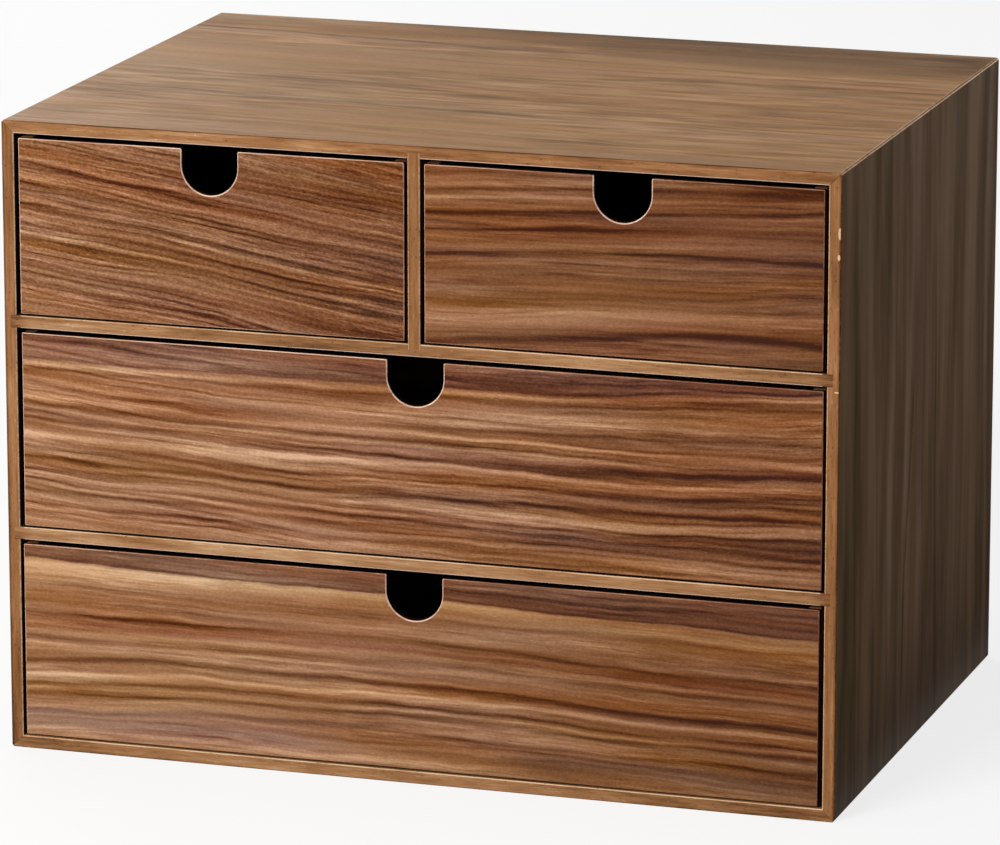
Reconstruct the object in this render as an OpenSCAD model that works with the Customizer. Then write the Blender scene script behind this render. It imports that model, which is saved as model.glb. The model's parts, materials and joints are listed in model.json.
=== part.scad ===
// Desktop cabinet of thin boards with two small drawers above two wide ones.
// The origin is at the middle of the underside. The drawers open towards -Y.

/* [Cabinet] */
// Overall width
cabinet_w = 340; // [220:1:600]
// Overall depth, from the front edges to the back
cabinet_d = 248; // [150:1:400]
// Thickness of the top, the bottom and the two sides
board_t = 5; // [4:0.5:12]
// Thickness of the two shelves
shelf_t = 5; // [4:0.5:12]
// Thickness of the upright between the small drawers
divider_t = 5; // [4:0.5:12]
// Thickness of the back panel
back_t = 3; // [2:0.5:6]

/* [Rows] */
// Clear height of the row with the two small drawers
top_row_h = 73; // [45:1:140]
// Clear height of the middle row
middle_row_h = 81; // [45:1:160]
// Clear height of the bottom row
bottom_row_h = 81; // [45:1:160]

/* [Cabinet joints] */
// Depth of the housings that hold the shelves and the divider
housing_depth = 2.3; // [1:0.1:3]
// Depth of the rebate that holds the back panel
back_rebate = 2.5; // [1:0.1:3]

/* [Drawers] */
// Thickness of the drawer fronts
front_t = 5; // [4:0.5:12]
// Thickness of the drawer sides
side_t = 5; // [4:0.5:12]
// Thickness of the boards across the rear of the drawers
rear_t = 5; // [4:0.5:12]
// Thickness of the drawer bases
base_t = 3; // [2:0.5:6]
// Height of a base above the lower edges of its drawer
base_lift = 4; // [2:0.5:12]
// Depth of the grooves that hold the base
base_groove = 2; // [1:0.1:2.5]
// Depth of the rebates in a front that hold the drawer sides
front_rebate = 2.5; // [1:0.1:3]
// Depth of the rebates in the drawer sides that hold the rear board
rear_rebate = 2.5; // [1:0.1:3]

/* [Finger notches] */
// Width of a notch, which is also the diameter of its round end
notch_w = 23; // [18:0.5:40]
// Length of the straight stretch above the round end
notch_straight = 6.5; // [1:0.5:15]

/* [Clearances] */
// Gap beside a drawer, on each side
side_gap = 1.7; // [0.5:0.1:3]
// Gap above a drawer
top_gap = 1.9; // [0.5:0.1:3]
// Gap below a drawer
bottom_gap = 0.3; // [0.2:0.1:1]
// Height of the lower edge of a front above those of its drawer sides
front_lift = 0.5; // [0:0.1:1]
// Distance of the drawer fronts behind the front edges of the cabinet
front_recess = 0.3; // [0:0.1:3]
// Gap between a closed drawer and the back panel
stop_gap = 0.3; // [0.2:0.1:3]

/* [How the closed drawers sit] */
// Share of the side gap by which the top left drawer sits to the right
top_left_lean = 0.1; // [-0.8:0.1:0.8]
// Share of the side gap by which the top right drawer sits to the right
top_right_lean = 0; // [-0.8:0.1:0.8]
// Share of the side gap by which the middle drawer sits to the right
middle_lean = 0.2; // [-0.8:0.1:0.8]
// Share of the side gap by which the bottom drawer sits to the right
bottom_lean = -0.2; // [-0.8:0.1:0.8]

/* [Hidden] */
$fn = 96;
// How far a cutting shape runs past the faces that it opens
overrun = 1;

// Levels, from the underside upwards
bottom_row_z = board_t;
lower_shelf_z = bottom_row_z + bottom_row_h;
middle_row_z = lower_shelf_z + shelf_t;
upper_shelf_z = middle_row_z + middle_row_h;
top_row_z = upper_shelf_z + shelf_t;
top_panel_z = top_row_z + top_row_h;
cabinet_h = top_panel_z + board_t;

// Depth positions
front_y = -cabinet_d / 2;
back_y = cabinet_d / 2;
back_panel_y = back_y - back_t;

// Widths inside the cabinet
inner_w = cabinet_w - 2 * board_t;
small_opening_w = (inner_w - divider_t) / 2;

// Drawer sizes that all drawers share
drawer_y = front_y + front_recess;
drawer_d = back_panel_y - stop_gap - drawer_y;

// Each drawer: name, left edge and lower level of its opening, clear width and height, lean
DRAWERS = [
    ["top_left", -inner_w / 2, top_row_z, small_opening_w, top_row_h, top_left_lean],
    ["top_right", divider_t / 2, top_row_z, small_opening_w, top_row_h, top_right_lean],
    ["middle", -inner_w / 2, middle_row_z, inner_w, middle_row_h, middle_lean],
    ["bottom", -inner_w / 2, bottom_row_z, inner_w, bottom_row_h, bottom_lean]
];
DRAWER_PIECES = ["front", "left_side", "right_side", "rear", "base"];
CABINET_PIECES = [
    "top_panel", "bottom_panel", "left_side", "right_side",
    "back_panel", "upper_shelf", "lower_shelf", "centre_divider"
];

function piece_name(drawer, piece) = str(drawer[0], "_drawer_", piece);
function drawer_w(drawer) = drawer[3] - 2 * side_gap;
function drawer_h(drawer) = drawer[4] - top_gap - bottom_gap;
function drawer_x(drawer) = drawer[1] + side_gap * (1 + drawer[5]);
function drawer_z(drawer) = drawer[2] + bottom_gap;

// A board seen from the front as an outline in X and Z, run through the full depth
module full_depth(outline)
    translate([0, back_y, 0])
        rotate([90, 0, 0])
            linear_extrude(cabinet_d)
                polygon(outline);

// Spaces of the fitted boards. past lengthens a space beyond the faces that a cut has to open.
module shelf_space(level, past = 0)
    translate([-inner_w / 2 - housing_depth, front_y - past, level])
        cube([inner_w + 2 * housing_depth, back_panel_y - front_y + past, shelf_t]);

module divider_space(past = 0)
    translate([-divider_t / 2, front_y - past, top_row_z - housing_depth])
        cube([divider_t, back_panel_y - front_y + past, top_row_h + 2 * housing_depth]);

module back_space(past = 0)
    translate([-inner_w / 2 - back_rebate, back_panel_y, board_t - back_rebate])
        cube([
            inner_w + 2 * back_rebate,
            back_t + past,
            top_panel_z - board_t + 2 * back_rebate
        ]);

// Outer boards, mitred where they meet
module top_panel()
    color("#96795f")
        difference() {
            full_depth([
                [-cabinet_w / 2, cabinet_h],
                [cabinet_w / 2, cabinet_h],
                [inner_w / 2, top_panel_z],
                [-inner_w / 2, top_panel_z]
            ]);
            divider_space(overrun);
            back_space(overrun);
        }

module bottom_panel()
    color("#7d6149")
        difference() {
            full_depth([
                [-cabinet_w / 2, 0],
                [cabinet_w / 2, 0],
                [inner_w / 2, board_t],
                [-inner_w / 2, board_t]
            ]);
            back_space(overrun);
        }

// hand is 1 for the right side and -1 for the left side
module cabinet_side(hand)
    color("#5a4636")
        difference() {
            full_depth([
                [hand * cabinet_w / 2, 0],
                [hand * cabinet_w / 2, cabinet_h],
                [hand * inner_w / 2, top_panel_z],
                [hand * inner_w / 2, board_t]
            ]);
            shelf_space(upper_shelf_z, overrun);
            shelf_space(lower_shelf_z, overrun);
            back_space(overrun);
        }

module back_panel()
    color("#6b5442")
        back_space();

module upper_shelf()
    color("#a0764e")
        difference() {
            shelf_space(upper_shelf_z);
            divider_space(overrun);
        }

module lower_shelf()
    color("#a0764e")
        shelf_space(lower_shelf_z);

module centre_divider()
    color("#a0764e")
        divider_space();

// Puts a drawer's pieces, drawn from the lower front left corner, where the closed drawer sits
module in_drawer(drawer)
    translate([drawer_x(drawer), drawer_y, drawer_z(drawer)])
        children();

// Spaces of the boards that are let into other boards of the same drawer
module base_space(drawer)
    translate([side_t - base_groove, front_t - base_groove, base_lift])
        cube([
            drawer_w(drawer) - 2 * (side_t - base_groove),
            drawer_d - front_t - rear_t + 2 * base_groove,
            base_t
        ]);

module rear_space(drawer, past = 0)
    translate([side_t - rear_rebate, drawer_d - rear_t, -past])
        cube([
            drawer_w(drawer) - 2 * (side_t - rear_rebate),
            rear_t + past,
            drawer_h(drawer) + 2 * past
        ]);

// The drawer side at the left edge at x = 0
module side_space(drawer, past = 0)
    translate([-past, front_t - front_rebate, -past])
        cube([
            side_t + past,
            drawer_d - front_t + front_rebate,
            drawer_h(drawer) + 2 * past
        ]);

// Mirrors what is drawn at a drawer's left edge to its right edge
module at_right_edge(drawer)
    translate([drawer_w(drawer), 0, 0])
        mirror([1, 0, 0])
            children();

module finger_notch(drawer) {
    round_z = drawer_h(drawer) - notch_straight;
    translate([drawer_w(drawer) / 2, -overrun, round_z])
        rotate([-90, 0, 0])
            cylinder(h = front_t + 2 * overrun, d = notch_w);
    translate([(drawer_w(drawer) - notch_w) / 2, -overrun, round_z])
        cube([notch_w, front_t + 2 * overrun, notch_straight + overrun]);
}

module drawer_front(drawer)
    color("#8c5f41")
        in_drawer(drawer)
            difference() {
                translate([0, 0, front_lift])
                    cube([drawer_w(drawer), front_t, drawer_h(drawer) - front_lift]);
                side_space(drawer, overrun);
                at_right_edge(drawer)
                    side_space(drawer, overrun);
                base_space(drawer);
                finger_notch(drawer);
            }

module left_edge_side(drawer)
    difference() {
        side_space(drawer);
        rear_space(drawer, overrun);
        base_space(drawer);
    }

module drawer_left_side(drawer)
    color("#7a5a40")
        in_drawer(drawer)
            left_edge_side(drawer);

module drawer_right_side(drawer)
    color("#7a5a40")
        in_drawer(drawer)
            at_right_edge(drawer)
                left_edge_side(drawer);

module drawer_rear(drawer)
    color("#7a5a40")
        in_drawer(drawer)
            difference() {
                rear_space(drawer);
                base_space(drawer);
            }

module drawer_base(drawer)
    color("#8a6a4c")
        in_drawer(drawer)
            base_space(drawer);

top_panel();
bottom_panel();
cabinet_side(-1);  // left_side
cabinet_side(1);  // right_side
back_panel();
upper_shelf();
lower_shelf();
centre_divider();

for (drawer = DRAWERS) {
    drawer_front(drawer);
    drawer_left_side(drawer);
    drawer_right_side(drawer);
    drawer_rear(drawer);
    drawer_base(drawer);
}
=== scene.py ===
"""Looks of the desktop drawer cabinet: veneered boards, eased arrises, grain, light and camera.

Every board is a copy of its CAD solid with its arrises eased and worn. It has one finish for its
two faces, one for its narrow edges and three for its arrises. Lengths are in metres, and the
grain patterns are written in millimetres.
"""

import json
import math

import bmesh
import bpy
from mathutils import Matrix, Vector, noise


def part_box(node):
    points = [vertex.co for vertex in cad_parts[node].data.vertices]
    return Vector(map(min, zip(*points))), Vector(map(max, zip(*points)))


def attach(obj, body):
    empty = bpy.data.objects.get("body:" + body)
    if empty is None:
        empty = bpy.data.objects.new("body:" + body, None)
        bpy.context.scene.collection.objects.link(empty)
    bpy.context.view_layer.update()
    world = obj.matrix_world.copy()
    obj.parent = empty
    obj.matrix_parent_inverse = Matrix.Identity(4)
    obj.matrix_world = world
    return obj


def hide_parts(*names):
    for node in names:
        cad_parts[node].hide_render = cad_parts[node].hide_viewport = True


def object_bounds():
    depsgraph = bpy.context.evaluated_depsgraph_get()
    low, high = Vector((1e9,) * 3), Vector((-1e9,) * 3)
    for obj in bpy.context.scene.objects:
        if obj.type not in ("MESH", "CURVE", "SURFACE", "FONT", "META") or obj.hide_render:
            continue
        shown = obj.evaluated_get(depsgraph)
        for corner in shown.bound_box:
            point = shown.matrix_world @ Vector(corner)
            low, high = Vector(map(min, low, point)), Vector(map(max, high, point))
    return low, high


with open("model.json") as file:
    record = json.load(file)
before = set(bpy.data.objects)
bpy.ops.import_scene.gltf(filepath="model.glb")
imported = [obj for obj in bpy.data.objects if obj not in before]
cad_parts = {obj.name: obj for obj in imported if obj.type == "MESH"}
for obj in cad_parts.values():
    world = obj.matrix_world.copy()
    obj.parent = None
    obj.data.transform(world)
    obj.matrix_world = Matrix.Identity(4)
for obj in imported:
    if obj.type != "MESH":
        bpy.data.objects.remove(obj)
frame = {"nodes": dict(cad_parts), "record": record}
cad_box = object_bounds()

MM = 0.001
X, Y, Z = range(3)

# The finishes of a board, in the order of its material slots. The last three are those of its
# arrises: plain ones, marked ones (the dark outer arrises of the cabinet, where a glue line and
# painted shade draw its outline, and the rims of the notches) and those that look down into an
# opening, which carry the palest painted highlight.
FACE, EDGE, ARRIS_PLAIN, ARRIS_MARKED, ARRIS_UNDER = range(5)

BODIES = frame["record"]["behaviour"]["bodies"]
BOXES = {node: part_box(node) for node in frame["nodes"]}
OUTER_BOARDS = ("top_panel", "bottom_panel", "left_side", "right_side")

# The half width and the depth of the box round a finger notch
NOTCH_HALF = 12.2 * MM
NOTCH_DEPTH = 19 * MM

# Arrises: width of those round the notches, shares of it elsewhere on the fronts, on the other
# boards and at glued joints, and how far the corners of the cabinet are taken off
ARRIS = 0.45 * MM
FRONT_SHARE = 0.7
BOARD_SHARE = 0.8
JOINT_SHARE = 0.2
SEGMENTS = 2
CORNER = 0.6 * MM

# Wear: the spacing of the cuts across a board and their room, the depth and size of the rubbed
# places and of the chips, the offset of the chips' noise, and the value from which one shows
STATION = 4 * MM
STATION_ROOM = 1 * MM
WEAR = 0.10 * MM
WEAR_SIZE = 9 * MM
CHIP = 0.22 * MM
CHIP_SIZE = 6 * MM
CHIP_SHIFT = Vector((7.3, 1.9, 4.1))
CHIP_FROM = 0.45

# Tolerances: points that are one, reach into a neighbour, angles that are flat or sharp, and
# parts of a normal that lean to one side, face it, face it at 45 degrees or are square to it
WELD = 0.001 * MM
PROBE = 0.25 * MM
FLAT = math.radians(1)
SHARP = math.radians(30)
LEANING = 0.2
FACING = 0.99
HALF_FACING = (0.6, 0.8)
SQUARE = 0.9999


# ---------------------------------------------------------------- shapes

def inside_a_neighbour(point, node, body):
    """True if the point lies in the box of another board of the same body."""
    for other in BODIES[body]:
        if other == node:
            continue
        low, high = BOXES[other]
        if all(low[i] <= point[i] <= high[i] for i in range(3)):
            return True
    return False


def is_glued(edge, node, body):
    """True if another board lies against one of the two faces at this edge."""
    middle = edge_middle(edge)
    along = (edge.verts[1].co - edge.verts[0].co).normalized()
    for face in edge.link_faces:
        inward = face.calc_center_median() - middle
        inward = (inward - along * inward.dot(along)).normalized()
        if inside_a_neighbour(middle + (face.normal + inward) * PROBE, node, body):
            return True
    return False


def edge_middle(edge):
    return (edge.verts[0].co + edge.verts[1].co) / 2


def is_sharp(edge):
    return len(edge.link_faces) == 2 and edge.calc_face_angle() > SHARP


def in_notch(point, node):
    """True for a point of a drawer front that lies at its finger notch."""
    low, high = BOXES[node]
    return (
        abs(point.x - (low.x + high.x) / 2) < NOTCH_HALF and point.z > high.z - NOTCH_DEPTH
    )


def cut_with(shape, place, normal, **options):
    """Cuts all of a shape with a plane."""
    bmesh.ops.bisect_plane(
        shape, geom=shape.verts[:] + shape.edges[:] + shape.faces[:], dist=WELD,
        plane_co=place, plane_no=normal, **options,
    )


def cut_corners(shape):
    """Takes the long outer corners of the cabinet off at 45 degrees, across the mitres."""
    low, high = cad_box
    for side_x, x in ((-1, low[X]), (1, high[X])):
        for side_z, z in ((-1, low[Z]), (1, high[Z])):
            normal = Vector((side_x, 0, side_z)).normalized()
            cut_with(shape, Vector((x, 0, z)) - normal * CORNER, normal, clear_outer=True)
            bmesh.ops.holes_fill(shape, edges=[e for e in shape.edges if e.is_boundary])


def add_stations(shape, low, high, axis):
    """Cuts the board across, so that its arrises can wear unevenly.

    No cut comes close to a point of the board, because a short edge would make the arrises small.
    """
    taken = {round(vert.co[axis], 6) for vert in shape.verts}
    normal = Vector([float(i == axis) for i in range(3)])
    count = int((high[axis] - low[axis]) / STATION)
    step = (high[axis] - low[axis]) / count
    for i in range(1, count):
        place = Vector(low)
        place[axis] += i * step
        if min(abs(place[axis] - other) for other in taken) >= STATION_ROOM:
            cut_with(shape, place, normal)


def cut_board(node, thin, long):
    """The shape of a CAD board, joined up, with its corners and its stations cut."""
    low, high = BOXES[node]
    shape = bmesh.new()
    shape.from_mesh(frame["nodes"][node].data)
    bmesh.ops.remove_doubles(shape, verts=shape.verts, dist=WELD)
    bmesh.ops.dissolve_limit(shape, angle_limit=FLAT, verts=shape.verts, edges=shape.edges)
    if node in OUTER_BOARDS:
        cut_corners(shape)
    add_stations(shape, low, high, long)
    if node.endswith("_drawer_front"):
        add_stations(shape, low, high, 3 - thin - long)
    shape.normal_update()
    return shape


def mark_faces(shape, node, thin):
    """Gives the faces of a board, its edges and the flats on its corners their finishes."""
    for face in shape.faces:
        across = abs(face.normal[thin])
        face.material_index = FACE if across > FACING else EDGE
        if node in OUTER_BOARDS and HALF_FACING[0] < across < HALF_FACING[1]:
            face.material_index = ARRIS_PLAIN


def arris_share(edge, node, body):
    """The width of the arris at an edge, as a share of the widest."""
    if is_glued(edge, node, body):
        return JOINT_SHARE
    if not node.endswith("_drawer_front"):
        return BOARD_SHARE
    return 1.0 if in_notch(edge_middle(edge), node) else FRONT_SHARE


def mark_arrises(shape, node, body):
    weights = shape.edges.layers.float.new("bevel_weight_edge")
    for edge in shape.edges:
        if is_sharp(edge) and edge.is_convex:
            edge[weights] = arris_share(edge, node, body)


def ease_arrises(piece):
    """Rounds the marked edges in the mesh itself."""
    ease = piece.modifiers.new("ease", "BEVEL")
    ease.limit_method = "WEIGHT"
    ease.width = ARRIS
    ease.segments = SEGMENTS
    ease.material = ARRIS_PLAIN
    bpy.context.view_layer.update()
    eased = bpy.data.meshes.new_from_object(
        piece.evaluated_get(bpy.context.evaluated_depsgraph_get())
    )
    piece.modifiers.clear()
    piece.data = eased


def wear_arrises(shape):
    """Presses the middle of each eased arris in a little, with a small chip here and there."""
    for vert in shape.verts:
        if not all(face.material_index == ARRIS_PLAIN for face in vert.link_faces):
            continue
        rub = WEAR * (0.5 + 0.5 * noise.noise(vert.co / WEAR_SIZE))
        knock = noise.noise(vert.co / CHIP_SIZE + CHIP_SHIFT)
        chip = CHIP * max(0.0, (knock - CHIP_FROM) / (1 - CHIP_FROM))
        vert.co -= vert.normal * (rub + chip)


def leans_outward(normal, node):
    """True if a normal leans out of the cabinet on the side of this outer board."""
    outward = dict(
        top_panel=normal.z, bottom_panel=-normal.z, left_side=-normal.x, right_side=normal.x
    )
    return outward[node] > LEANING


def arris_finish(face, node, body):
    """The number of an eased arris's finish: EDGE, ARRIS_PLAIN, ARRIS_MARKED or ARRIS_UNDER."""
    normal = face.normal
    middle = face.calc_center_median()
    if node.endswith("_drawer_front"):
        if normal.y > -LEANING:
            return EDGE
        return ARRIS_MARKED if in_notch(middle, node) else ARRIS_PLAIN
    forward = normal.y < -LEANING
    behind = middle + Vector((normal.x, -normal.y, normal.z)) * PROBE
    if forward and inside_a_neighbour(behind, node, body):
        return EDGE
    # Rear arrises, left corners and outer front arrises are marked dark: a glue line at the front
    # and painted shade along the cabinet's outline.
    if node in OUTER_BOARDS:
        outward = leans_outward(normal, node)
        left_corner = outward and normal.x < -LEANING
        if normal.y > LEANING or left_corner or (forward and outward):
            return ARRIS_MARKED
    # Arrises that look down into an opening get the palest finish, a painted highlight.
    if forward and normal.z < -LEANING:
        return ARRIS_UNDER
    return ARRIS_PLAIN


def finish_arrises(mesh, node, body):
    """Wears the eased arrises, shades them smoothly and gives them their finishes."""
    shape = bmesh.new()
    shape.from_mesh(mesh)
    wear_arrises(shape)
    for face in shape.faces:
        face.smooth = max(abs(part) for part in face.normal) < SQUARE
        if face.material_index == ARRIS_PLAIN:
            face.material_index = arris_finish(face, node, body)
    shape.to_mesh(mesh)
    shape.free()


def add_board(node, body, finishes):
    """Puts a dressed copy of a CAD board in its place. finishes: one for each slot."""
    low, high = BOXES[node]
    size = [high[i] - low[i] for i in range(3)]
    thin = size.index(min(size))
    shape = cut_board(node, thin, size.index(max(size)))
    mark_faces(shape, node, thin)
    mark_arrises(shape, node, body)

    piece = bpy.data.objects.new(node + "_board", bpy.data.meshes.new(node + "_board"))
    bpy.context.scene.collection.objects.link(piece)
    shape.to_mesh(piece.data)
    shape.free()
    for finish in finishes:
        piece.data.materials.append(finish)
    ease_arrises(piece)
    finish_arrises(piece.data, node, body)

    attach(piece, body)
    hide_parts(node)


# ---------------------------------------------------------------- shader arithmetic

class Field:
    """A number that varies over a surface, with the arithmetic of shader nodes."""

    def __init__(self, socket):
        self.socket = socket
        self.tree = socket.id_data

    def math(self, operation, *others, clamp=False):
        step = self.tree.nodes.new("ShaderNodeMath")
        step.operation = operation
        step.use_clamp = clamp
        for socket, value in zip(step.inputs, (self, *others)):
            put(socket, value)
        return Field(step.outputs[0])

    def __add__(self, other):
        return self.math("ADD", other)

    def __sub__(self, other):
        return self.math("SUBTRACT", other)

    def __mul__(self, other):
        return self.math("MULTIPLY", other)

    def __truediv__(self, other):
        return self.math("DIVIDE", other)

    def clamped(self):
        return self.math("ADD", 0.0, clamp=True)


def put(socket, value):
    """Links a field to a socket, or writes a plain number on it."""
    if isinstance(value, Field):
        value.tree.links.new(value.socket, socket)
    else:
        socket.default_value = value


def board_coordinates(tree):
    """X, Y and Z in the shared frame, in millimetres. They move with the board."""
    place = tree.nodes.new("ShaderNodeTexCoord")
    split = tree.nodes.new("ShaderNodeSeparateXYZ")
    tree.links.new(place.outputs["Object"], split.inputs[0])
    return [Field(output) * (1 / MM) for output in split.outputs]


def mottle(x, y, z, detail=2.0):
    """Soft noise from -1 to 1, with features about one unit wide."""
    cloud = x.tree.nodes.new("ShaderNodeTexNoise")
    join = x.tree.nodes.new("ShaderNodeCombineXYZ")
    for socket, value in zip(join.inputs, (x, y, z)):
        put(socket, value)
    x.tree.links.new(join.outputs[0], cloud.inputs["Vector"])
    cloud.inputs["Scale"].default_value = 1.0
    cloud.inputs["Detail"].default_value = detail
    return Field(cloud.outputs["Fac"]).math("MULTIPLY_ADD", 2.0, -1.0)


def chance(value):
    """A random number from 0 to 1 for each whole number."""
    dice = value.tree.nodes.new("ShaderNodeTexWhiteNoise")
    dice.noise_dimensions = "1D"
    put(dice.inputs["W"], value.math("FLOOR"))
    return Field(dice.outputs["Value"])


def rise(value, start, end):
    """Goes smoothly from 0 at start to 1 at end, and stays there."""
    step = value.tree.nodes.new("ShaderNodeMapRange")
    step.interpolation_type = "SMOOTHSTEP"
    put(step.inputs["Value"], value)
    step.inputs["From Min"].default_value = start
    step.inputs["From Max"].default_value = end
    return Field(step.outputs["Result"])


def curve(value, points):
    """A smooth curve through points, each a value and the number that it gives."""
    first, last = points[0][0], points[-1][0]
    scale = max(abs(height) for _, height in points) or 1.0
    step = value.tree.nodes.new("ShaderNodeFloatCurve")
    step.mapping.use_clip = False
    step.mapping.extend = "HORIZONTAL"
    line = step.mapping.curves[0]
    places = [((at - first) / (last - first), height / scale) for at, height in points]
    line.points[0].location = places[0]
    line.points[1].location = places[-1]
    for place in places[1:-1]:
        line.points.new(*place)
    step.mapping.update()
    put(step.inputs["Value"], (value - first) / (last - first))
    return Field(step.outputs["Value"]) * scale


def along_board(share, heights):
    """A smooth curve through heights that are evenly spaced along a board."""
    return curve(share, [(i / (len(heights) - 1), height) for i, height in enumerate(heights)])


def srgb(red, green, blue):
    """A colour as a picture editor writes it, as linear light."""
    return tuple(
        c / 12.92 if c <= 0.04045 else ((c + 0.055) / 1.055) ** 2.4
        for c in (red / 255, green / 255, blue / 255)
    ) + (1.0,)


def coloured(tone, colours):
    """The colour for a tone from 0 to 1, through colours that are evenly spaced."""
    ramp = tone.tree.nodes.new("ShaderNodeValToRGB")
    ramp.color_ramp.interpolation = "B_SPLINE"
    ramp.color_ramp.elements[1].position = 1.0
    for i in range(1, len(colours) - 1):
        ramp.color_ramp.elements.new(i / (len(colours) - 1))
    for element, colour in zip(ramp.color_ramp.elements, colours):
        element.color = srgb(*colour)
    put(ramp.inputs["Fac"], tone.clamped())
    return ramp.outputs["Color"]


def new_material(name):
    material = bpy.data.materials.new(name)
    material.use_nodes = True
    return material


# ---------------------------------------------------------------- wood

# The colours of each wood, from its darkest to its palest tone
WALNUT = (
    (47, 17, 6), (82, 41, 18), (108, 63, 34), (134, 86, 56), (160, 112, 81), (187, 140, 106),
    (216, 171, 137),
)
# A greyer copy of the cabinet's walnut, which paints the dull look of the shaded sides.
SIDE_WALNUT = (
    (46, 29, 14), (70, 48, 29), (94, 70, 46), (118, 90, 63), (142, 111, 82), (164, 132, 102),
    (186, 154, 124),
)
CABINET_WALNUT = (
    (42, 26, 12), (68, 46, 25), (93, 65, 37), (117, 84, 51), (139, 102, 65), (160, 121, 83),
    (182, 143, 106),
)
LIPPING = (
    (66, 37, 18), (104, 65, 35), (130, 86, 50), (151, 104, 66), (168, 122, 82), (190, 148, 110),
    (222, 188, 154),
)
SHELF_LIPPING = (
    (66, 39, 20), (104, 67, 38), (130, 89, 54), (152, 108, 71), (169, 126, 88), (190, 151, 114),
    (222, 190, 155),
)
# The narrow edges of the fronts: dark wood taken nearly to black, which also paints the deep shade
# in the gaps and the notches.
DARK_EDGE = (
    (8, 4, 3), (12, 6, 4), (17, 9, 6), (22, 12, 8), (29, 17, 11), (38, 23, 15), (50, 31, 21),
)
# Pale raw wood of the eased arrises, light enough to paint their highlight too.
ARRIS_WOOD = (
    (130, 84, 62), (160, 110, 86), (190, 142, 116), (214, 172, 146), (230, 194, 172),
    (242, 212, 194), (250, 226, 210),
)

# The lighter rim of a growth line, a painted highlight on the lip of its groove: its width in
# millimetres, and its share of the line's strength
RIM = 0.9
RIM_SHARE = 0.18

# How soft the ends of lines and bands are, as shares of the board, outside and inside the end
FADE_OUT = 0.03
FADE_IN = 0.08

# Roughness of the darkest wood, how much less it is on pale wood and on raised places, the height
# of the relief, and the specular level of most boards, of the cabinet's outside and of the edges
# at the gaps
ROUGHNESS = 0.56
SHEEN = 0.08
RELIEF = 0.05 * MM
SHINE = 0.07
DULL_SHINE = 0.03
GAP_SHINE = 0.02

# The size of the noise through the thickness of a board, in millimetres
THROUGH = 9

# How far one unit of red turns the hue, and one unit of grey lowers the saturation
RED_TURN = -0.009
GREY_DROP = -0.25

# How far under the outer faces of the cabinet the painted shade of its inside starts and is full,
# in millimetres
INSIDE_SHADE = (1, 3)

# Where a pale chip starts and is full, as the square of the distance from its middle, and how
# strong the small flecks of solid wood are
CHIP_RIM = (1.4, 0.6)
FLECK = 0.25


def line(across, up, down, tone, start=None, end=None):
    """A growth line, dark for a negative tone, with a lighter rim on its upper side.

    across: its place in millimetres over the lower edge of the board. One number follows the
    flow of the board, and several are evenly spaced along it. The line fades out over up and
    down millimetres on its two sides, and runs from share start to share end of the board.
    """
    # The last two points paint a highlight along the upper side of the line.
    profile = (
        (-down, 0), (-0.45 * down, 0.5), (0, 1), (0.45 * up, 0.5), (up, 0),
        (up + 0.5 * RIM, -RIM_SHARE), (up + 2 * RIM, 0),
    )
    return dict(across=across, profile=profile, tone=tone, start=start, end=end, red=0, grey=0)


def band(across, up, down, tone, red=0.0, grey=0.0, start=None, end=None):
    """A broad soft band. It lightens the wood by tone, and reddens or greys it."""
    return dict(
        across=across, profile=None, up=up, down=down, tone=tone, red=red, grey=grey,
        start=start, end=end,
    )


def laid_over(marks, share, height, level, breaks, fields):
    """Adds lines and bands to the fields tone, red and grey.

    height and level: the place across the board, without and with its flow. breaks: how strong
    the lines are, from 0 to 1.
    """
    for mark in marks:
        if isinstance(mark["across"], tuple):
            gap = height - along_board(share, mark["across"])
        else:
            gap = level - mark["across"]
        if mark["profile"]:
            shape = curve(gap, mark["profile"]) * breaks
        else:
            shape = rise(gap, mark["up"], 0.0) * rise(gap, -mark["down"], 0.0)
        if mark["start"] is not None:
            shape = shape * rise(share, mark["start"] - FADE_OUT, mark["start"] + FADE_IN)
        if mark["end"] is not None:
            shape = shape * rise(share, mark["end"] + FADE_OUT, mark["end"] - FADE_IN)
        for name in fields:
            if mark[name]:
                fields[name] = shape.math("MULTIPLY_ADD", mark[name], fields[name])


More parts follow.
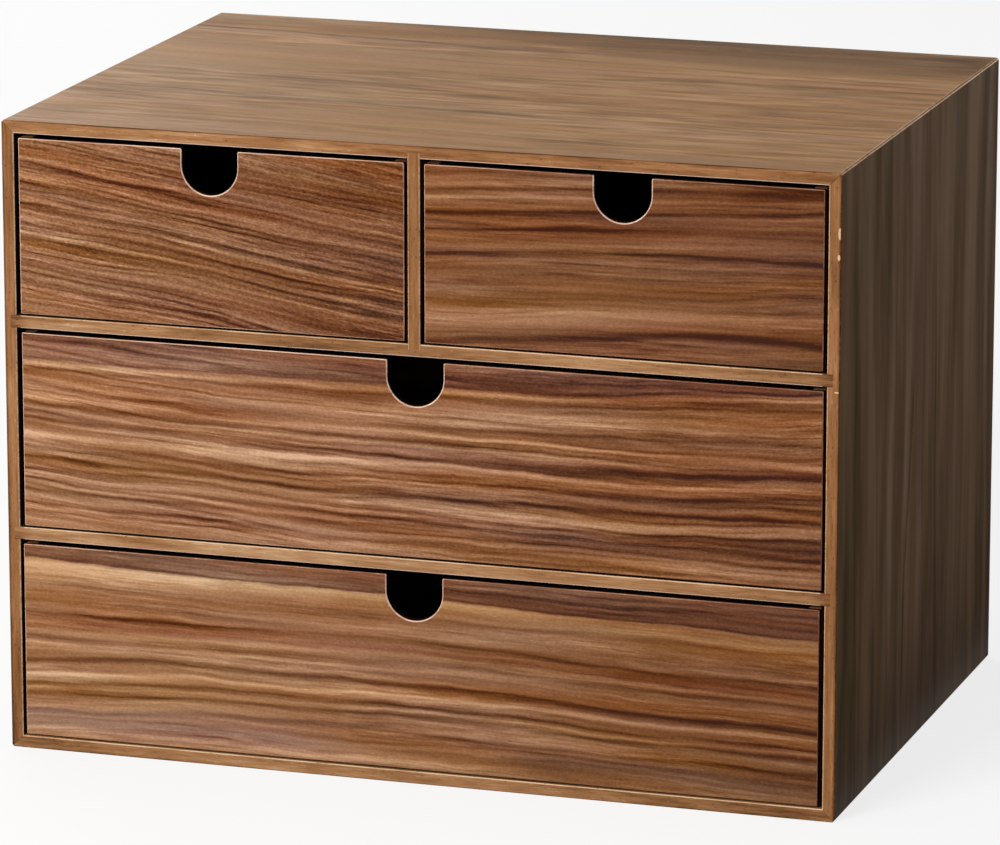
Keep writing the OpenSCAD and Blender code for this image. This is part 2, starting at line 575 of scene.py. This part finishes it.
class Grain:
    """Where a point lies along, under and across the grain of a board, for its patterns.

    The lengths and widths that the patterns below give are in millimetres.
    """

    def __init__(self, along, under, across):
        self.along = along
        self.under = under
        self.across = across

    def cloud(self, length, width, detail=2.0, shift=0):
        """Soft noise from -1 to 1, drawn out along the grain."""
        across = self.across / width
        if shift:
            across = across + shift
        return mottle(self.along / length, self.under, across, detail)

    def wandering(self, wave):
        """How far the grain wanders off its course, in millimetres."""
        return (
            self.cloud(length=48, width=13, detail=0.0) * (1.3 * wave)
            + self.cloud(length=14, width=4.5, detail=0.0) * (0.45 * wave)
            + self.cloud(length=4.5, width=1.6, detail=1.0) * (0.20 * wave)
        )

    def bands(self, spread, strength):
        """Broad bands of paler and darker wood."""
        return (
            self.cloud(length=170, width=7 * spread) * strength
            + self.cloud(length=90, width=2.6 * spread, detail=1.0) * (0.9 * strength)
        )

    def streaks(self, spread, strength):
        """Thin streaks, which come in clusters."""
        clusters = self.cloud(length=70, width=9 * spread, detail=0.0, shift=60) * 1.6 + 0.75
        threads = self.cloud(length=16, width=0.8 * spread, detail=1.0)
        return threads * clusters.clamped() * (1.3 * strength)

    def growth(self, gap):
        """Growth lines gap millimetres apart: up to 1 on a line, a little below 0 between two."""
        ring = self.across / gap + self.cloud(length=80, width=10, detail=1.0) * 1.4
        away = (ring.math("FRACT") - 0.5).math("ABSOLUTE")
        presence = mottle(self.along / 50, self.under, ring * 0.7, 1.0) * 1.5 + chance(ring) * 0.9
        return rise(away, 0.30, 0.0) * presence.clamped() - rise(away, 0.30, 0.5) * 0.35

    def pores(self, strength):
        """Dark pores above 0 and pale flecks below it."""
        dots = self.cloud(length=3.0, width=0.35, detail=0.0)
        dark = rise(dots, 0.42, 0.75) * (1.3 * strength)
        return dark - rise(dots, -0.5, -0.75) * (1.6 * strength)

    def breaks(self):
        """How strong the growth lines are, from 0 to 1."""
        return (self.cloud(length=42, width=4, detail=1.0) * 1.1 + 0.85).clamped()

    def redness(self):
        """How much the wood leans to red, which has an upper limit."""
        return (self.cloud(length=120, width=8, detail=1.0, shift=40) * 1.1).math("MINIMUM", 0.4)

    def greyness(self):
        """How much the wood leans to grey."""
        return self.cloud(length=110, width=8, detail=1.0, shift=80) * 0.7


def inside_share(place, thin):
    """1 on the faces of a board that look into the cabinet, 0 on its outer faces.

    place: the board's coordinates. thin: the axis of its thickness.
    """
    middle = (cad_box[1] + cad_box[0]) / (2 * MM)
    half = (cad_box[1] - cad_box[0]) / (2 * MM)
    out = (place[thin] - middle[thin]).math("ABSOLUTE")
    return rise(out, half[thin] - INSIDE_SHADE[0], half[thin] - INSIDE_SHADE[1])


def tinted(fields, colours):
    """The colour of the field tone, reddened and greyed by the other two."""
    tree = fields["tone"].tree
    tint = tree.nodes.new("ShaderNodeHueSaturation")
    tree.links.new(coloured(fields["tone"], colours), tint.inputs["Color"])
    put(tint.inputs["Hue"], fields["red"].math("MULTIPLY_ADD", RED_TURN, 0.5))
    put(tint.inputs["Saturation"], fields["grey"].math("MULTIPLY_ADD", GREY_DROP, 1.0))
    return tint.outputs["Color"]


def finish_wood(tree, colour, tone, relief, specular):
    """Joins a wood colour, its sheen and its fine relief to the shader."""
    shader = tree.nodes["Principled BSDF"]
    tree.links.new(colour, shader.inputs["Base Color"])
    shader.inputs["Specular IOR Level"].default_value = specular
    put(shader.inputs["Roughness"], (relief * -SHEEN - tone * SHEEN + ROUGHNESS).clamped())
    bump = tree.nodes.new("ShaderNodeBump")
    bump.inputs["Strength"].default_value = 1.0
    bump.inputs["Distance"].default_value = RELIEF
    put(bump.inputs["Height"], relief)
    tree.links.new(bump.outputs["Normal"], shader.inputs["Normal"])


def veneer(
    name, along, across, low, size, tones=(0.5, 0.5), flow=((0, 0, 0), (0, 0, 0)), wave=1.0,
    broad=0.2, rings=(3.0, 0.1), wisps=0.2, specks=0.08, spread=1.0, stretch=1.0, marks=(),
    colours=WALNUT, red=-0.3, specular=SHINE, inner=0.0,
):
    """Walnut veneer with its grain along one axis.

    low and size: the board's box. tones: how light the wood is along the board. flow: how far the
    grain rises or falls along the board, at its lower and its upper edge. wave: how much it
    wanders. broad, wisps and specks: how strong the broad bands, the thin streaks and the specks
    are. rings: spacing and depth of the growth lines. spread and stretch: how much wider and
    longer the pattern is. red: how much it leans to red. inner: how much darker the board is
    inside the cabinet, as painted shade.
    """
    material = new_material(name)
    tree = material.node_tree
    place = board_coordinates(tree)
    thin = 3 - along - across
    a = place[along] - low[along] / MM
    c = place[across] - low[across] / MM
    share = a * (MM / size[along])
    height = c * (MM / size[across])

    drift_low, drift_high = (along_board(share, heights) for heights in flow)
    drift = drift_low + (drift_high - drift_low) * height.clamped()
    under = place[thin] / THROUGH
    a = a / stretch
    c = c - Grain(a, under, c).wandering(wave)
    level = c - drift

    grain = Grain(a, under, level)
    fine = grain.cloud(length=1.3, width=0.7, detail=1.0) * specks
    pores = grain.pores(specks)
    gap, depth = rings
    tone = grain.bands(spread, broad) + grain.streaks(spread, wisps) + fine
    fields = dict(
        tone=tone - grain.growth(gap) * depth - pores + along_board(share, tones),
        red=grain.redness() + red,
        grey=grain.greyness(),
    )
    laid_over(marks, share, c, level, grain.breaks(), fields)
    # Painted shade: darker on the faces inside the cabinet.
    if inner:
        fields["tone"] = fields["tone"] - inside_share(place, thin) * inner

    relief = (fine - pores) * 3.0
    finish_wood(tree, tinted(fields, colours), fields["tone"], relief, specular)
    return material


def fibres(place, length, width, detail=2.0):
    """Soft noise from -1 to 1, drawn out along the first of three coordinates."""
    a, b, c = place
    return mottle(a / length, b / width, c / width, detail)


def solid_wood(
    name, along, colours, tones=(0.5, 0.5), streak=0.36, outer=None, chips=(), specular=SHINE,
):
    """The plain solid wood of narrow edges, with short fibres along one axis and small flecks.

    tones: how light the wood is along the cabinet. streak: how strong its fibres are. outer:
    where its painted shade towards the sides of the cabinet starts and ends, and how much it
    darkens the wood. chips: pale chipped spots, each with its place in X and Z and its half
    width and half height. All places are in millimetres.
    """
    material = new_material(name)
    tree = material.node_tree
    place = board_coordinates(tree)
    low, high = cad_box
    share = (place[along] - low[along] / MM) * (MM / (high[along] - low[along]))
    turned = [place[along]] + [place[axis] for axis in range(3) if axis != along]
    fine = fibres(turned, length=7, width=0.6, detail=1.0)
    spots = fibres(turned, length=1.8, width=0.7, detail=0.0)
    flecks = rise(spots, 0.40, 0.7) - rise(spots, -0.42, -0.75) * 0.8
    wood = (
        fibres(turned, length=38, width=2.2) * streak
        + fibres(turned, length=32, width=30, detail=1.0) * (0.6 * streak)
        + fine * (0.6 * streak)
        - flecks * FLECK
        + along_board(share, tones)
    )
    # Painted shade: darker towards the sides of the cabinet.
    if outer:
        start, end, drop = outer
        wood = wood - rise(place[X].math("ABSOLUTE"), start, end) * drop
    for x, z, half_width, half_height in chips:
        across, up = (place[X] - x) / half_width, (place[Z] - z) / half_height
        wood = wood + rise(across * across + up * up, *CHIP_RIM)
    finish_wood(tree, coloured(wood, colours), wood, fine, specular)
    return material


# ---------------------------------------------------------------- finishes of the boards

def front_box(drawer):
    low, high = BOXES[drawer + "_drawer_front"]
    return dict(along=X, across=Z, low=low, size=high - low)


def top_left_veneer():
    return veneer(
        "top_left_veneer", **front_box("top_left"), tones=(0.54, 0.45, 0.34), wave=0.8,
        flow=((10, 5, 0, -5.8, -11.5), (10.5, 5.8, 0, -6.2, -11.8)), broad=0.14, rings=(2.6, 0.26),
        wisps=0.28, specks=0.22,
        marks=(
            band(52.5, 1.2, 1.6, 0.12),
            line(49.1, 1.2, 1.6, -0.30),
            band(45.6, 1.0, 1.0, 0.14),
            line(42.6, 1.2, 2.4, -0.22),
            line(34.0, 1.2, 2.2, -0.22),
            band(31.2, 0.8, 0.8, 0.12),
            line(26.5, 1.2, 2.0, -0.24),
            band(23.3, 0.8, 1.0, 0.20),
            line(20.9, 1.0, 1.6, -0.26),
            band(17.4, 0.8, 0.9, 0.12),
            line(11.0, 1.2, 2.0, -0.22),
            line(4.0, 1.2, 2.0, -0.20),
            line((68, 64, 59, 54, 49), 1.0, 1.6, -0.22),
        ),
    )


def top_right_veneer():
    return veneer(
        "top_right_veneer", **front_box("top_right"), tones=(0.44, 0.38, 0.30), wave=0.7,
        flow=((-2.6, -1.3, 0, 1.6, 3.2), (-2.2, -1.1, 0, 1.2, 2.4)), broad=0.21, rings=(2.6, 0.10),
        wisps=0.17, specks=0.10,
        marks=(
            band((75, 71.5, 68.4), 7.0, 0.8, -0.22, start=0.55),
            line((60.3, 65.2, 67.4), 1.3, 1.8, -0.28),
            band((57.3, 61.6, 64.6), 1.6, 1.6, 0.20),
            line((51.7, 56.0, 60.9), 1.4, 2.0, -0.30),
            line((45.2, 49.7, 52.7), 1.1, 1.4, -0.36),
            line((50.0, 50.3, 50.0), 1.0, 1.4, -0.22, start=0.74),
            line((35.4, 40.3, 41.4), 1.6, 2.2, -0.32),
            line((33.2, 35.4, 37.0), 1.0, 1.5, -0.22, start=0.25),
            line((30.0, 31.0, 33.8), 0.9, 1.2, -0.20, start=0.28),
            band((25.0, 26.0, 27.0), 3.5, 3.5, -0.10, end=0.25),
            band((23.0, 24.5, 26.0), 6.0, 5.0, 0.06, start=0.3),
            band((11.5, 16.0, 17.0), 5.5, 5.5, 0.20),
            band((0.5, 4.2, 7.2, 10.3, 9.4), 2.4, 2.8, -0.32, red=0.3),
            band((-2, 1, 3, 5, 4), 3.0, 6.0, -0.06, start=0.5),
        ),
    )


def middle_veneer():
    return veneer(
        "middle_veneer", **front_box("middle"), tones=(0.62, 0.59, 0.54, 0.47, 0.43),
        flow=((10, 3.6, 0, -2.5, -2), (8, 2.6, 0, 0.5, 4.5)), broad=0.28, rings=(2.9, 0.20),
        wisps=0.20, specks=0.13,
        marks=(
            band((68.3, 68.4, 68.6, 71.5, 77), 60, 1.2, -0.20, red=0.7, grey=0.4),
            band((68.5, 68.6, 68.8, 71.7, 77.2), 1.6, 1.0, -0.10),
            band((66, 66, 66.4, 69, 74.5), 1.4, 1.6, 0.20),
            line((63.8, 64, 64.5, 66.5, 70), 1.0, 1.4, -0.18),
            band((58, 58, 59, 60, 61), 5, 5, 0.09),
            line((50, 51, 52.3, 54.2, 56.5), 1.4, 1.6, -0.26, start=0.42),
            band((53.5, 50.5, 49, 48.5, 48.5), 2.0, 2.0, 0.22),
            line((50.6, 47.8, 46.7, 45.8, 45), 1.4, 2.0, -0.28, end=0.6),
            band((47.5, 45, 43.5, 42.5, 44.8), 1.5, 2.5, -0.05, red=0.3),
            line((44.7, 41.7, 40, 39.8, 44.4), 1.6, 2.2, -0.28),
            band((44.7, 41.7, 40.6, 40.8, 45.2), 4.0, 1.6, -0.20, red=0.6, start=0.50),
            band((38, 36.5, 37.6, 35.8, 40.9), 2.4, 2.4, 0.24),
            line((32.7, 31.0, 31.0, 30.5, 36.3), 2.2, 2.4, -0.24),
            line((28.8, 24.3, 26), 1.4, 1.8, -0.29),
            band((25.5, 21.0, 20.0, 19.6, 22.7), 2.2, 2.2, 0.14, start=0.35),
            line((23.5, 21, 17.3, 16.3, 19.4), 1.5, 2.0, -0.26),
            line((19.3, 14.3, 11.5), 1.4, 2.0, -0.28),
            line((15.4, 11.0, 7.8), 1.1, 1.6, -0.24, end=0.45),
            line((10.4, 7.5, 4.8, 3.5, 2), 1.3, 1.8, -0.24, end=0.75),
            line((6.2, 4.0, 1.6), 1.0, 1.4, -0.20, end=0.40),
            band((14, 14, 13.5, 12.5, 13.7), 6.0, 7.0, -0.24, red=0.3, grey=0.3, start=0.6),
            line((13, 12, 11, 8.4, 8), 1.4, 2.0, -0.22, start=0.55),
            line((3, 3, 2, 1.7, 1.5), 1.0, 1.4, -0.22, start=0.45),
        ),
    )


def bottom_veneer():
    return veneer(
        "bottom_veneer", **front_box("bottom"), tones=(0.62, 0.59, 0.53, 0.45, 0.40),
        flow=((-2, 0.5, 0, -1.8, -4.5), (4, 2, 0, -2.2, -4.5)), broad=0.21, rings=(3.2, 0.09),
        wisps=0.17, specks=0.10, red=-0.6,
        marks=(
            band((73.9, 71.3, 69.9, 68.3, 65.7), 60, 1.2, -0.18, red=0.5, grey=0.4),
            band((74.2, 71.6, 70.2, 68.6, 66.0), 1.8, 1.0, -0.08),
            line((79, 77, 74.6, 73.2, 72), 1.0, 1.2, -0.18, start=0.45),
            line((79, 78, 77, 76, 75.4), 0.9, 1.0, -0.16, start=0.5),
            line((72, 72, 71.8, 70.6, 69.2), 0.9, 1.0, -0.15, start=0.6),
            band((73.4, 70.8, 69.4, 67.8, 65.2), 0.5, 10.5, 0.22, red=-0.6),
            line((62.5, 61.5, 60.5, 60, 59.5), 1.5, 2.0, -0.14),
            line((50.4, 51.2, 52, 48.6, 48), 1.1, 2.2, -0.32),
            band((47.5, 48, 48.5, 45.5, 45), 3.0, 3.5, -0.06, red=0.8),
            line((40.9, 42.3, 43.3, 41, 39.4), 1.6, 2.0, -0.20),
            band((38, 39.5, 40, 37.5, 36), 1.5, 1.5, 0.14),
            band((31, 34.8, 33.8, 31.2, 29.3), 1.8, 2.8, -0.28),
            band((24.9, 29, 28.8, 27.2, 26), 1.6, 2.2, 0.24),
            line((20.9, 25.2, 25.4, 22.8, 21.5), 1.1, 1.4, -0.24),
            band((19, 23, 23.6, 21, 19.8), 0.8, 0.8, 0.12),
            line((17.2, 20.1, 21.7, 19.6, 18.1), 1.3, 2.0, -0.32),
            band((10.3, 14, 17, 18, 18), 2.0, 2.8, -0.20, grey=0.4, end=0.5),
            line((16, 15, 14, 12.8, 12.5), 1.2, 2.4, -0.28, start=0.5),
            band((8, 8, 8, 8, 8), 5.0, 10.0, -0.19, grey=0.4, start=0.6),
            band((7, 8, 9, 9, 9), 7.0, 9.0, -0.04, red=0.6, grey=0.6, end=0.40),
            band((3, 2.7, 2.5, 2, 1), 2.2, 2.2, 0.13, end=0.62),
        ),
    )


def top_panel_veneer():
    low, high = BOXES["top_panel"]
    return veneer(
        "top_panel_veneer", along=X, across=Y, low=low, size=high - low, colours=CABINET_WALNUT,
        tones=(0.72, 0.70, 0.69), flow=((0, -4, -8, -9, -9), (0, -6, -10, -11, -11)), wave=2.8,
        broad=0.18, rings=(14.0, 0.0), wisps=0.27, specks=0.06, spread=5.0, specular=DULL_SHINE,
        red=0.0, stretch=1.8,
        marks=(
            band((330, 285, 255, 235, 224), 60, 60, -0.33, start=0.2),
            band((10, 10, 10, 10, 10), 60, 30, -0.03),
            band((123, 119, 106, 100, 98), 2.0, 4.5, -0.18, end=0.55),
            band((84, 78, 71.5, 71.5, 69), 1.2, 3.0, -0.20, start=0.35),
            band((96, 94, 90.5, 88, 86), 1.5, 1.5, 0.12, start=0.3),
            band((217, 212, 201, 201, 200), 2.5, 5.0, -0.18, end=0.5),
            band((205, 206, 188, 182, 176), 2.0, 3.0, -0.12, start=0.2),
            band((180, 178, 173, 173, 172), 1.5, 3.0, -0.15, start=0.33),
            band((165, 158, 152, 160, 163), 2.0, 3.0, -0.15, start=0.42),
            band((105, 104, 103, 100, 99), 1.5, 3.0, -0.12, start=0.42),
            band((40, 36, 30, 26, 24), 2.0, 3.0, -0.11),
        ),
    )


def side_veneer():
    low, high = BOXES["right_side"]
    # The sides' walnut is greyer and their tones darken strongly towards the bottom: painted shade
    # on the sides.
    return veneer(
        "side_veneer", along=Z, across=Y, low=low, size=high - low, colours=SIDE_WALNUT,
        tones=(0.27, 0.66, 0.72, 0.73, 0.74), flow=((-3, 2, 3, 0, -2), (2, 0, -1, 0, 1)), wave=1.4,
        broad=0.42, rings=(9.0, 0.06), wisps=0.10, specks=0.05, spread=4.0, specular=DULL_SHINE,
        red=0.0, inner=0.6, stretch=1.5,
        marks=(
            band((10, 10, 12, 30, 60), 30, 30, -0.04, red=-0.8),
            band((150, 130, 120, 120, 125), 40, 40, 0.0, red=0.7),
            band((98, 96, 104, 110, 108), 6.0, 7.0, 0.20),
            line((102, 102, 112, 118, 118), 2.0, 4.0, -0.24, end=0.6),
            line((156, 153, 150, 148, 146), 2.0, 3.5, -0.24, end=0.8),
            line((30, 28, 25, 24, 24), 2.0, 3.5, -0.22, end=0.7),
            band((236, 238, 234, 232, 236), 5.0, 5.0, 0.18),
            band((60, 58, 54, 50, 46), 2.0, 4.0, 0.14, end=0.65),
        ),
    )


def plain_veneer(name, along, across, **look):
    """Veneer of a board whose grain doesn't show in the closed cabinet."""
    low, high = cad_box
    return veneer(name, along, across, low, high - low, colours=CABINET_WALNUT, **look)


top_face = top_panel_veneer()
side_face = side_veneer()
# Painted shade: the shelves' veneer is nearly the darkest tone, for the shade inside the cabinet.
shelf_face = plain_veneer("shelf_veneer", X, Y, tones=(0.08, 0.08), red=0.8)
back_face = plain_veneer("back_veneer", X, Z, tones=(0.5, 0.5), broad=0.15)
box_side_face = plain_veneer("box_side_veneer", Y, Z, tones=(0.62, 0.62))
box_rear_face = plain_veneer("box_rear_veneer", X, Z, tones=(0.62, 0.62))
base_face = plain_veneer("base_veneer", X, Y, tones=(0.68, 0.68))
inner_edge = solid_wood("inner_edge", X, LIPPING)

# Painted shade on the lippings, where the ends of the shelves meet the sides and along the outer
# rims of the sides' front edges: from and to where it darkens, in millimetres from the middle of
# the cabinet, and by how much
housed_end_shade = (158, 166, 0.20)
outer_edge_shade = (168.6, 169.9, 0.35)

lippings = {
    "top_panel": solid_wood(
        "top_lipping", X, LIPPING, (0.50, 0.57, 0.50, 0.45, 0.40, 0.43, 0.41, 0.40),
    ),
    "upper_shelf": solid_wood(
        "upper_shelf_lipping", X, SHELF_LIPPING, (0.44, 0.60, 0.42, 0.38, 0.48, 0.62, 0.50, 0.40),
        outer=housed_end_shade,
    ),
    "lower_shelf": solid_wood(
        "lower_shelf_lipping", X, SHELF_LIPPING, (0.57, 0.59, 0.65, 0.58, 0.58, 0.57, 0.52, 0.40),
        outer=housed_end_shade,
    ),
    "bottom_panel": solid_wood(
        "bottom_lipping", X, SHELF_LIPPING, (0.42, 0.44, 0.53, 0.50, 0.49, 0.41, 0.39, 0.34),
    ),
    "left_side": solid_wood(
        "left_lipping", Z, LIPPING, (0.33, 0.40, 0.45, 0.46, 0.41, 0.42), streak=0.28,
        outer=outer_edge_shade,
    ),
    "right_side": solid_wood(
        "right_lipping", Z, LIPPING, (0.43, 0.44, 0.45, 0.52, 0.44, 0.45), streak=0.28,
        outer=outer_edge_shade,
        chips=((169.4, 231.6, 0.55, 2.3), (169.1, 222.4, 0.5, 1.1), (168.8, 170.1, 0.9, 0.3)),
    ),
    "centre_divider": solid_wood("divider_lipping", Z, LIPPING, (0.38, 0.38), streak=0.28),
}
# Arrises of the cabinet: pale worn wood with a painted highlight, palest on those that look down
# into the openings.
cabinet_arris = solid_wood("cabinet_arris", X, LIPPING, (0.93, 0.93))
under_arris = solid_wood("under_arris", X, ARRIS_WOOD, (1.0, 1.0))
# Dark arrises: a glue line at the outer front arrises and painted shade along the cabinet's
# outline.
glue_line_and_outline_shade = solid_wood("glue_line_and_outline_shade", X, LIPPING, (0.12, 0.12))
# Painted shade: the fronts' near-black edges stand for the shade in the gaps and notches.
front_edge = solid_wood("front_edge", X, DARK_EDGE, specular=GAP_SHINE)
# Rims of the notches: pale wood with a painted highlight.
notch_arris = solid_wood("notch_arris", X, ARRIS_WOOD, (0.60, 0.60))

# How light the arrises of the fronts are, from the left to the right of the cabinet: pale worn wood
# with a painted highlight, which fades towards the right.
arris_wear_and_highlight_tones = {
    "top_left": (0.85, 0.45, 0.56, 0.52, 0.36, 0.36, 0.36, 0.36, 0.36),
    "top_right": (0.40, 0.40, 0.40, 0.40, 0.40, 0.22, 0.14, 0.12, 0.08),
    "middle": (0.95, 0.45, 0.55, 0.60, 0.45, 0.20, 0.10, 0.08, 0.04),
    "bottom": (0.90, 0.20, 0.16, 0.14, 0.14, 0.14, 0.12, 0.08, 0.05),
}
front_arrises = {
    drawer: solid_wood(drawer + "_arris", X, ARRIS_WOOD, tones)
    for drawer, tones in arris_wear_and_highlight_tones.items()
}
fronts = {
    "top_left": top_left_veneer(),
    "top_right": top_right_veneer(),
    "middle": middle_veneer(),
    "bottom": bottom_veneer(),
}
cabinet_faces = {
    "top_panel": top_face, "bottom_panel": top_face, "left_side": side_face,
    "right_side": side_face, "centre_divider": side_face, "back_panel": back_face,
    "upper_shelf": shelf_face, "lower_shelf": shelf_face,
}
box_faces = {
    "left_side": box_side_face, "right_side": box_side_face, "rear": box_rear_face,
    "base": base_face,
}


def board_finishes(node):
    """The finishes of a board, in the order of its material slots."""
    if node.endswith("_drawer_front"):
        drawer = node.removesuffix("_drawer_front")
        arris = front_arrises[drawer]
        return fronts[drawer], front_edge, arris, notch_arris, arris
    if "_drawer_" in node:
        piece = node.split("_drawer_")[1]
        return box_faces[piece], inner_edge, inner_edge, inner_edge, inner_edge
    edge = lippings.get(node, inner_edge)
    return cabinet_faces[node], edge, cabinet_arris, glue_line_and_outline_shade, under_arris


for body, nodes in BODIES.items():
    for node in nodes:
        add_board(node, body, board_finishes(node))


# ---------------------------------------------------------------- floor, light and camera

CAMERA_PLACE = (0.8042, -2.5144, 0.7616)
CAMERA_TURN = math.radians(17.84)
CAMERA_DIP = math.radians(13.72)
SENSOR_WIDTH = 36.0
LENS = 241.4

# Each softbox: name, place, width in metres, power in watts and colour
SOFTBOXES = (
    ("key", (-1.0, -2.7, 1.45), 1.4, 108, (1, 0.99, 0.97)),
    ("overhead", (-0.2, 0.2, 1.7), 1.0, 7, (1, 1, 1)),
    ("behind", (-1.2, 1.5, 0.9), 1.0, 10, (1, 1, 1)),
)
LIGHT_AIM = Vector((0, 0, 0.12))

WHITE = (1, 1, 1, 1)
BLACK = (0, 0, 0, 1)
WORLD_TINT = (1.0, 0.98, 0.95, 1)
WORLD_STRENGTH = 0.15

# The floor: half its width, its colour to the eye and to the light that it sends on, and how much
# of what the eye sees is plain white
FLOOR_HALF = 6.0
FLOOR_SEEN = (0.9, 0.9, 0.9, 1)
FLOOR_BOUNCE = (0.25, 0.25, 0.25, 1)
FLOOR_WHITE = 0.8

# The dark cards on the right: the near end, far end and height of the upright one, and the corners
# and level of the one that lies on the floor
CARD_NEAR = (0.35, 0.2)
CARD_FAR = (1.6, 1.4)
CARD_HEIGHT = 1.6
MAT_LOW = (0.18, -0.12)
MAT_HIGH = (1.6, 1.4)
MAT_LEVEL = 0.001


def add_camera():
    data = bpy.data.cameras.new("camera")
    data.sensor_fit = "HORIZONTAL"
    data.sensor_width = SENSOR_WIDTH
    data.lens = LENS
    camera = bpy.data.objects.new("camera", data)
    camera.location = CAMERA_PLACE
    camera.rotation_euler = (math.radians(90) - CAMERA_DIP, 0, CAMERA_TURN)
    bpy.context.scene.collection.objects.link(camera)
    bpy.context.scene.camera = camera


def add_softbox(name, place, width, watts, colour):
    data = bpy.data.lights.new(name, "AREA")
    data.shape = "SQUARE"
    data.size = width
    data.energy = watts
    data.color = colour
    lamp = bpy.data.objects.new(name, data)
    lamp.location = place
    aim = LIGHT_AIM - Vector(place)
    lamp.rotation_mode = "QUATERNION"
    lamp.rotation_quaternion = aim.to_track_quat("-Z", "Y")
    bpy.context.scene.collection.objects.link(lamp)


def add_stage_piece(name, points, faces, material):
    """A plain mesh that isn't part of the object."""
    mesh = bpy.data.meshes.new(name)
    mesh.from_pydata(points, [], faces)
    mesh.materials.append(material)
    piece = bpy.data.objects.new(name, mesh)
    bpy.context.scene.collection.objects.link(piece)
    return piece


def coloured_shader(tree, kind, colour):
    shader = tree.nodes.new(kind)
    shader.inputs["Color"].default_value = colour
    return shader


def mixed_shaders(tree, share, first, second):
    """The first shader where share is 0, and the second where it is 1."""
    mix = tree.nodes.new("ShaderNodeMixShader")
    if isinstance(share, float):
        mix.inputs[0].default_value = share
    else:
        tree.links.new(share, mix.inputs[0])
    tree.links.new(first.outputs[0], mix.inputs[1])
    tree.links.new(second.outputs[0], mix.inputs[2])
    return mix


def seen_or_mirrored(tree):
    """1 for rays from the camera and for those that gloss or glass sends on, 0 for diffuse ones."""
    path = tree.nodes.new("ShaderNodeLightPath")
    total = path.outputs["Is Camera Ray"]
    for kind in ("Is Glossy Ray", "Is Transmission Ray"):
        join = tree.nodes.new("ShaderNodeMath")
        join.operation = "MAXIMUM"
        tree.links.new(total, join.inputs[0])
        tree.links.new(path.outputs[kind], join.inputs[1])
        total = join.outputs[0]
    return total


def add_world():
    """A dim world for the light and a white one for the eye."""
    world = bpy.data.worlds.new("world")
    world.use_nodes = True
    tree = world.node_tree
    dim = tree.nodes["Background"]
    dim.inputs["Color"].default_value = WORLD_TINT
    dim.inputs["Strength"].default_value = WORLD_STRENGTH
    white = coloured_shader(tree, "ShaderNodeBackground", WHITE)
    mix = mixed_shaders(tree, seen_or_mirrored(tree), dim, white)
    tree.links.new(mix.outputs[0], tree.nodes["World Output"].inputs["Surface"])
    bpy.context.scene.world = world


def add_floor():
    """A pale floor that takes the object's shadow and sends little light back to the object."""
    material = new_material("floor")
    tree = material.node_tree
    tree.nodes.clear()
    matt = coloured_shader(tree, "ShaderNodeBsdfDiffuse", FLOOR_SEEN)
    white = coloured_shader(tree, "ShaderNodeEmission", WHITE)
    seen = mixed_shaders(tree, FLOOR_WHITE, matt, white)
    bounce = coloured_shader(tree, "ShaderNodeBsdfDiffuse", FLOOR_BOUNCE)
    mix = mixed_shaders(tree, seen_or_mirrored(tree), bounce, seen)
    output = tree.nodes.new("ShaderNodeOutputMaterial")
    tree.links.new(mix.outputs[0], output.inputs["Surface"])
    half = FLOOR_HALF
    corners = [(-half, -half, 0), (half, -half, 0), (half, half, 0), (-half, half, 0)]
    add_stage_piece("floor", corners, [(0, 1, 2, 3)], material)


def add_flag():
    """Dark cards on the right, which only reflections see. They keep the side from shining."""
    material = new_material("flag")
    material.node_tree.nodes["Principled BSDF"].inputs["Base Color"].default_value = BLACK
    upright = [
        (*CARD_NEAR, 0), (*CARD_FAR, 0), (*CARD_FAR, CARD_HEIGHT), (*CARD_NEAR, CARD_HEIGHT),
    ]
    flat = [
        (MAT_LOW[X], MAT_LOW[Y], MAT_LEVEL), (MAT_HIGH[X], MAT_LOW[Y], MAT_LEVEL),
        (MAT_HIGH[X], MAT_HIGH[Y], MAT_LEVEL), (MAT_LOW[X], MAT_HIGH[Y], MAT_LEVEL),
    ]
    flag = add_stage_piece("flag", upright + flat, [(0, 1, 2, 3), (4, 5, 6, 7)], material)
    flag.visible_camera = False
    flag.visible_diffuse = False
    flag.visible_shadow = False
    flag.visible_transmission = False


add_camera()
add_world()
add_floor()
for softbox in SOFTBOXES:
    add_softbox(*softbox)
add_flag()

bpy.context.scene.view_settings.view_transform = "Standard"
